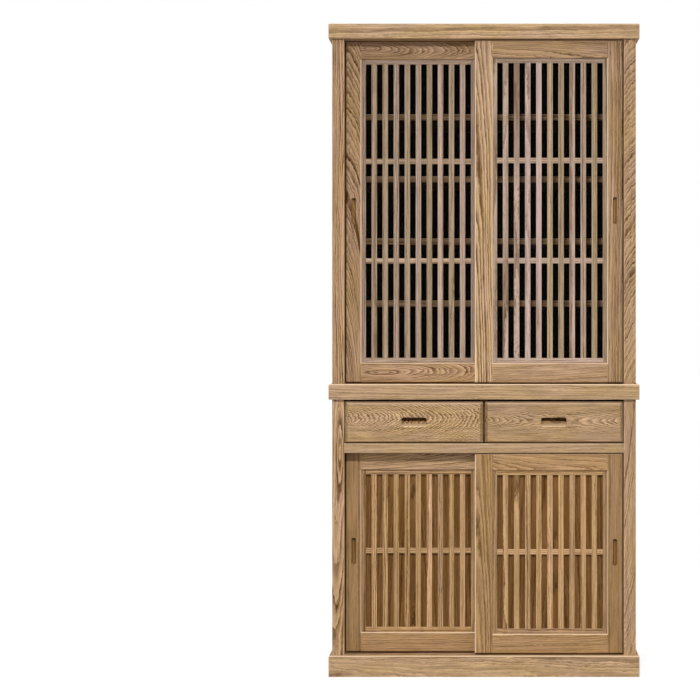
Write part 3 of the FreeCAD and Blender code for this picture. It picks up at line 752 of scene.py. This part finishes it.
def make_lattice_tree():
    """A framed lattice that fills a box: edge strips, upright bars, and crossbars between the bars."""
    tree = bpy.data.node_groups.new("lattice", "GeometryNodeTree")
    add_sockets(tree, "INPUT", "NodeSocketGeometry", "Geometry")
    add_sockets(tree, "INPUT", "NodeSocketVector", "Low corner", "High corner")
    add_sockets(tree, "INPUT", "NodeSocketFloat", "Side strip", "Top strip", "Bottom strip", "Bar width",
                "Crossbar height", "Crossbar setback", "Edge radius")
    add_sockets(tree, "INPUT", "NodeSocketInt", "Bars", "Crossbars", "Seed")
    add_sockets(tree, "INPUT", "NodeSocketMaterial", "Upright wood", "Level wood")
    add_sockets(tree, "OUTPUT", "NodeSocketGeometry", "Geometry")
    start = add(tree, "NodeGroupInput").outputs

    def slat(width, depth, length):
        return add(tree, "GeometryNodeGroup",
                   {"Width": width, "Depth": depth, "Length": length,
                    "Edge radius": start["Edge radius"]}, node_tree=SLAT_TREE)

    def level(piece):
        return add(tree, "GeometryNodeTransform",
                   {"Geometry": piece, "Rotation": (0.0, QUARTER_TURN, 0.0)})

    def evenly(count, width, edge, length):
        """Gap, pitch and first middle of so many pieces, spaced evenly over a length from an edge."""
        taken = add(tree, MATH, (count, width), operation="MULTIPLY")
        free = add(tree, MATH, (length, taken), operation="SUBTRACT")
        gaps = add(tree, MATH, (count, 1.0), operation="ADD")
        gap = add(tree, MATH, (free, gaps), operation="DIVIDE")
        pitch = add(tree, MATH, (gap, width), operation="ADD")
        near_side = add(tree, MATH, (edge, gap), operation="ADD")
        first_middle = add(tree, MATH, (width, 0.5, near_side), operation="MULTIPLY_ADD")
        return gap, pitch, first_middle

    def row(piece, count, first, step, row_number, shade=1.0):
        """Copies of a piece on a line, each with its own number, and all with one shade."""
        line = add(tree, "GeometryNodeMeshLine",
                   {"Count": count, "Start Location": first, "Offset": step})
        copies = add(tree, "GeometryNodeInstanceOnPoints", {"Points": line, "Instance": piece})
        seed = add(tree, MATH, (start["Seed"], float(row_number)), operation="ADD")
        number = add(tree, "FunctionNodeRandomValue", {"Seed": seed, RANDOM_TOP: SLAT_NUMBERS},
                     data_type="FLOAT").outputs[RANDOM_VALUE]
        for name, value in (("slat_number", number), ("slat_shade", shade)):
            copies = add(tree, "GeometryNodeStoreNamedAttribute",
                         {"Geometry": copies, "Name": name, "Value": value}, data_type="FLOAT",
                         domain="INSTANCE")
        return copies

    # The whole box, and the opening inside its edge strips.
    corners = (start["High corner"], start["Low corner"])
    low = add(tree, SEPARATE, (start["Low corner"],)).outputs
    size = add(tree, VECTOR_MATH, corners, operation="SUBTRACT")
    size = add(tree, SEPARATE, (size,)).outputs
    middle = add(tree, VECTOR_MATH, corners, operation="ADD")
    middle = add(tree, VECTOR_MATH, {0: middle, "Scale": 0.5}, operation="SCALE")
    middle = add(tree, SEPARATE, (middle,)).outputs
    inset = add(tree, COMBINE, {0: start["Side strip"], 2: start["Bottom strip"]})
    open_low = add(tree, VECTOR_MATH, (start["Low corner"], inset), operation="ADD")
    inset = add(tree, COMBINE, {0: start["Side strip"], 2: start["Top strip"]})
    open_high = add(tree, VECTOR_MATH, (start["High corner"], inset), operation="SUBTRACT")
    opening = add(tree, VECTOR_MATH, (open_high, open_low), operation="SUBTRACT")
    opening = add(tree, SEPARATE, (opening,)).outputs
    open_middle = add(tree, VECTOR_MATH, (open_low, open_high), operation="ADD")
    open_middle = add(tree, VECTOR_MATH, {0: open_middle, "Scale": 0.5}, operation="SCALE")
    open_middle = add(tree, SEPARATE, (open_middle,)).outputs
    open_low = add(tree, SEPARATE, (open_low,)).outputs
    open_high = add(tree, SEPARATE, (open_high,)).outputs

    gap, pitch, first_bar = evenly(start["Bars"], start["Bar width"], open_low["X"], opening["X"])
    bar_step = add(tree, COMBINE, {0: pitch})
    bars = row(slat(start["Bar width"], size["Y"], opening["Z"]), start["Bars"],
               add(tree, COMBINE, (first_bar, middle["Y"], open_middle["Z"])), bar_step, 1)

    # The side strips carry painted shade.
    side_step = add(tree, MATH, (size["X"], start["Side strip"]), operation="SUBTRACT")
    first_side = add(tree, MATH, (start["Side strip"], 0.5, low["X"]), operation="MULTIPLY_ADD")
    sides = row(slat(start["Side strip"], size["Y"], size["Z"]), 2,
                add(tree, COMBINE, (first_side, middle["Y"], middle["Z"])),
                add(tree, COMBINE, {0: side_step}), 2, SIDE_STRIP_SHADOW_TONE)

    # A crossbar is a short slat in each gap between the bars.
    depth = add(tree, MATH, (size["Y"], start["Crossbar setback"]), operation="SUBTRACT")
    cross_y = add(tree, MATH, (start["Crossbar setback"], 0.5, middle["Y"]), operation="MULTIPLY_ADD")
    first_gap = add(tree, MATH, (gap, 0.5, open_low["X"]), operation="MULTIPLY_ADD")
    gaps = add(tree, MATH, (start["Bars"], 1.0), operation="ADD")
    crossbar = add(tree, "GeometryNodeMeshLine",
                   {"Count": gaps, "Start Location": add(tree, COMBINE, {0: first_gap, 1: cross_y}),
                    "Offset": bar_step})
    crossbar = add(tree, "GeometryNodeInstanceOnPoints",
                   {"Points": crossbar, "Instance": level(slat(start["Crossbar height"], depth, gap))})
    crossbar = add(tree, "GeometryNodeRealizeInstances", {"Geometry": crossbar})
    rise, first_crossbar = evenly(start["Crossbars"], start["Crossbar height"], open_low["Z"],
                                  opening["Z"])[1:]
    crossbars = row(crossbar, start["Crossbars"], add(tree, COMBINE, {2: first_crossbar}),
                    add(tree, COMBINE, {2: rise}), 3, CROSSBAR_SHADE)

    # The top strip carries painted shade.
    top_z = add(tree, MATH, (start["Top strip"], 0.5, open_high["Z"]), operation="MULTIPLY_ADD")
    top = row(level(slat(start["Top strip"], size["Y"], opening["X"])), 1,
              add(tree, COMBINE, (middle["X"], middle["Y"], top_z)), (0.0, 0.0, 0.0), 4, TOP_STRIP_SHADOW_TONE)
    bottom_z = add(tree, MATH, (start["Bottom strip"], 0.5, low["Z"]), operation="MULTIPLY_ADD")
    bottom = row(level(slat(start["Bottom strip"], size["Y"], opening["X"])), 1,
                 add(tree, COMBINE, (middle["X"], middle["Y"], bottom_z)), (0.0, 0.0, 0.0), 5)

    painted = []
    for pieces, wood in (([bars, sides], "Upright wood"), ([crossbars, top, bottom], "Level wood")):
        together = add(tree, "GeometryNodeJoinGeometry", {0: pieces})
        solid = add(tree, "GeometryNodeRealizeInstances", {"Geometry": together})
        painted.append(add(tree, "GeometryNodeSetMaterial", {"Geometry": solid, "Material": start[wood]}))
    whole = add(tree, "GeometryNodeJoinGeometry", {0: painted})
    add(tree, "NodeGroupOutput", {"Geometry": whole})
    return tree


LATTICE_TREE = make_lattice_tree()


def grown_mesh(name, tree, values):
    """An object whose mesh is what the tree makes of the named inputs, with no modifier left on it."""
    made = bpy.data.objects.new(name, bpy.data.meshes.new(name))
    bpy.context.scene.collection.objects.link(made)
    modifier = made.modifiers.new("grow", "NODES")
    modifier.node_group = tree
    sockets = {item.name: item.identifier for item in tree.interface.items_tree if item.in_out == "INPUT"}
    for label, value in values.items():
        modifier[sockets[label]] = value
    depsgraph = bpy.context.evaluated_depsgraph_get()
    finished = bpy.data.meshes.new_from_object(made.evaluated_get(depsgraph))
    made.modifiers.clear()
    made.data = finished
    finished.name = name
    return made


UPPER_SLATS = Cut(
    arch=90, heart=60, lean=0.012, rings=6.0, sway=20, tone="grey", left=0.25, right=0.25, crown=0.3,
    shade=0.97)
LOWER_SLATS = Cut(
    arch=90, heart=60, lean=0.012, rings=6.0, sway=20, tone="sand", left=0.1, right=0.1, crown=0.3,
    shade=1.05)
# How far the slats' tones range between rosy wood (0) and yellow wood (1), and past them.
UPPER_TINTS = (-0.6, 1.4)
LOWER_TINTS = (0.0, 0.8)
UPPER_CROSSBARS = 2
LOWER_CROSSBARS = 1
LATTICE_SIZES = {
    "Side strip": 12.6 * MM, "Top strip": 12.8 * MM, "Bottom strip": 14.0 * MM, "Bar width": 15.6 * MM,
    "Crossbar height": 15.4 * MM, "Crossbar setback": 1.5 * MM, "Edge radius": 1.2 * MM, "Bars": 9,
}
# How far the seeds of two doors that follow each other are apart for their wood, and the first lattice's.
UPRIGHT_SEED = 3.1
LEVEL_SEED = 4.3
FIRST_LATTICE_SEED = 11


def make_lattices():
    """The slatted lattice of each door, grown inside the box that the frame gives it."""
    for index, door in enumerate(DOORS):
        node = f"{door}_lattice"
        if door.startswith("upper"):
            cut, tints, crossbars = UPPER_SLATS, UPPER_TINTS, UPPER_CROSSBARS
        else:
            cut, tints, crossbars = LOWER_SLATS, LOWER_TINTS, LOWER_CROSSBARS
        upright_seed, level_seed = UPRIGHT_SEED * (index + 1), LEVEL_SEED * (index + 1)
        upright = slat_wood(f"ash upright slats {door}", UPRIGHT_FRONT, cut, upright_seed, tints)
        level = slat_wood(f"ash level slats {door}", LEVEL_FRONT, cut, level_seed, tints)
        low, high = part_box(node)
        values = {"Low corner": low, "High corner": high, "Crossbars": crossbars,
                  "Seed": FIRST_LATTICE_SEED + index, "Upright wood": upright, "Level wood": level}
        lattice = grown_mesh(f"{door}_slats", LATTICE_TREE, {**LATTICE_SIZES, **values})
        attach(lattice, door)
        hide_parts(node)


# The fittings

def smoked_glass():
    """Smoked float glass: hardly any colour of its own, a hard polish, and a dark body."""
    material = empty_material("smoked float glass")
    tree = material.node_tree
    place = add(tree, "ShaderNodeTexCoord").outputs["Object"]
    ripple = add(tree, NOISE, {"Vector": place, "Scale": 3.0, "Detail": 1.0})
    bump = add(tree, "ShaderNodeBump", {"Height": ripple, "Strength": 0.05, "Distance": 0.5 * MM})
    dust = add(tree, NOISE, {"Vector": place, "Scale": 14.0, "Detail": 3.0})
    rough = add(tree, MAP_RANGE, {"Value": dust, "To Min": 0.02, "To Max": 0.07})
    # The dark, partly opaque body is partly smoked glass and partly painted shade that dims the view into
    # the cupboard.
    shader = add(tree, "ShaderNodeBsdfPrincipled",
                 {"Base Color": linear("#0a0807"), "Roughness": rough, "IOR": 1.5, "Alpha": 0.32,
                  "Specular IOR Level": 0.05, "Normal": bump})
    add(tree, "ShaderNodeOutputMaterial", {"Surface": shader})
    return material


def turned_steel():
    """Shelf pins turned from steel rod: fine rings around the shank."""
    material = empty_material("turned steel")
    tree = material.node_tree
    place = add(tree, "ShaderNodeTexCoord").outputs["Object"]
    turning = add(tree, "ShaderNodeTexWave", {"Vector": place, "Scale": 400.0, "Distortion": 0.6},
                  wave_type="BANDS", bands_direction="X").outputs["Fac"]
    rough = add(tree, MAP_RANGE, {"Value": turning, "To Min": 0.25, "To Max": 0.42})
    shader = add(tree, "ShaderNodeBsdfPrincipled",
                 {"Base Color": linear("#c9c6c0"), "Metallic": 1.0, "Roughness": rough})
    add(tree, "ShaderNodeOutputMaterial", {"Surface": shader})
    return material


def paint_fittings():
    """The panes, the shelf pins and the dowels between the cases."""
    glass = smoked_glass()
    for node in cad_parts:
        if node.endswith("_glass"):
            paint(node, glass)
    paint("shelf_pins", turned_steel())
    ash_board("case_dowels", Cut(heart=60, rings=3.0, tone="pale"), DOWEL_SEED)


# The studio

FLOOR_SIZE = 60.0
AMBIENT = 0.1
FLOOR_GLOW = 0.86


def seen_directly(tree):
    """1 for what the camera sees, also through glass and in reflections, and 0 for all other light."""
    path = add(tree, "ShaderNodeLightPath").outputs
    seen = add(tree, MATH, (path["Is Camera Ray"], path["Is Glossy Ray"]), operation="MAXIMUM")
    return add(tree, MATH, (seen, path["Is Transmission Ray"]), operation="MAXIMUM")


def make_floor():
    """A wide floor that the camera and reflections see as white, with the cupboard's shadow on it.

    It throws back as little light as a grey floor, so that recesses stay dark.
    """
    bpy.ops.mesh.primitive_plane_add(size=FLOOR_SIZE)
    floor = bpy.context.object
    floor.name = "studio_floor"
    material = empty_material("matte white studio floor")
    tree = material.node_tree
    place = add(tree, "ShaderNodeTexCoord").outputs["Object"]
    mottle = add(tree, NOISE, {"Vector": place, "Scale": 1.5, "Detail": 2.0})
    mottled = add(tree, MIX, {"Factor": mottle, FROM: linear("#828282"), TO: linear("#7e7e7d")},
                  data_type="RGBA")
    seen = seen_directly(tree)
    colour = add(tree, MIX, {"Factor": seen, FROM: linear("#a0a0a0"), TO: mottled.outputs[MIXED]},
                 data_type="RGBA")
    glow = add(tree, MATH, (seen, FLOOR_GLOW), operation="MULTIPLY")
    shader = add(tree, "ShaderNodeBsdfPrincipled",
                 {"Base Color": colour.outputs[MIXED], "Roughness": 0.9, "Specular IOR Level": 0.0,
                  "Emission Color": WHITE, "Emission Strength": glow})
    add(tree, "ShaderNodeOutputMaterial", {"Surface": shader})
    floor.data.materials.append(material)


def make_world():
    """White to the camera and in reflections, and an even dim light on the cupboard."""
    world = bpy.data.worlds.new("studio")
    bpy.context.scene.world = world
    world.use_nodes = True
    tree = world.node_tree
    tree.nodes.clear()
    strength = add(tree, MAP_RANGE, {"Value": seen_directly(tree), "To Min": AMBIENT, "To Max": 1.0})
    background = add(tree, "ShaderNodeBackground", {"Color": WHITE, "Strength": strength})
    add(tree, "ShaderNodeOutputWorld", {"Surface": background})


# Far lamps: name, strength, and azimuth, elevation and apparent size in degrees. Azimuth 0 is in front of
# the cupboard, and positive is to its left as seen from the front.
SUNS = (
    ("left_fill_light", 0.35, 40, 5, 30),
    ("right_fill_light", 0.35, -40, 5, 30),
    ("left_light", 1.35, 80, 15, 26),
    ("right_light", 1.35, -80, 15, 26),
    ("top_light", 0.2, 8, 60, 20),
    ("back_light", 1.7, 165, 40, 40),
)
# The key lamp stands as near as the shadows show, which grow longer from the cap down to the middle rail.
KEY_PLACE = (-0.2, -3.2, 2.92)
KEY_TARGET = (0.0, 0.0, -2.1)
KEY_WATTS = 38.8
KEY_SIZE = 0.28
KEY_SPREAD = math.radians(110)


def aimed(name, data, towards_lamp):
    """Adds a lamp that shines on things from the side to which the direction points."""
    lamp = bpy.data.objects.new(name, data)
    lamp.rotation_euler = towards_lamp.to_track_quat("Z", "Y").to_euler()
    bpy.context.scene.collection.objects.link(lamp)
    return lamp


def make_lights():
    """One near lamp above the front throws the shadows of the cap and the rails, and suns fill them."""
    key = bpy.data.lights.new("key_light", "AREA")
    key.shape = "SQUARE"
    key.size = KEY_SIZE
    key.energy = KEY_WATTS
    key.spread = KEY_SPREAD
    aimed("key_light", key, Vector(KEY_PLACE) - Vector(KEY_TARGET)).location = KEY_PLACE
    for name, strength, azimuth, elevation, size in SUNS:
        sun = bpy.data.lights.new(name, "SUN")
        sun.energy = strength
        sun.angle = math.radians(size)
        turn, rise = math.radians(azimuth), math.radians(elevation)
        level = math.cos(rise)
        aimed(name, sun, Vector((-math.sin(turn) * level, -math.cos(turn) * level, math.sin(rise))))


# The picture's frame and the cap's width in it in pixels, the column of the cupboard's middle, and which
# height of the front is in the middle of the frame.
FRAME_PIXELS = 700
CAP_PIXELS = 311.4
MIDDLE_PIXEL = 484.0
PICTURE_MIDDLE_Z = 945.25 * MM
# The camera stands so far in front of the cap's edge.
CAMERA_DISTANCE = 5.2
CAMERA_HEIGHT = 1.02
SENSOR_MM = 36.0


def make_camera():
    """A level camera before the cupboard's middle, shifted so that the cupboard stands to the right."""
    frame_width = (cad_high.x - cad_low.x) * FRAME_PIXELS / CAP_PIXELS
    data = bpy.data.cameras.new("camera")
    data.sensor_width = SENSOR_MM
    data.lens = SENSOR_MM * CAMERA_DISTANCE / frame_width
    data.shift_x = -(MIDDLE_PIXEL - FRAME_PIXELS / 2) / FRAME_PIXELS
    data.shift_y = (PICTURE_MIDDLE_Z - CAMERA_HEIGHT) / frame_width
    camera = bpy.data.objects.new("camera", data)
    camera.location = (0.0, cad_low.y - CAMERA_DISTANCE, CAMERA_HEIGHT)
    camera.rotation_euler = (QUARTER_TURN, 0.0, 0.0)
    bpy.context.scene.collection.objects.link(camera)
    bpy.context.scene.camera = camera


paint_boards()
make_lattices()
paint_fittings()
make_floor()
make_world()
make_lights()
make_camera()
bpy.context.scene.view_settings.view_transform = "Standard"
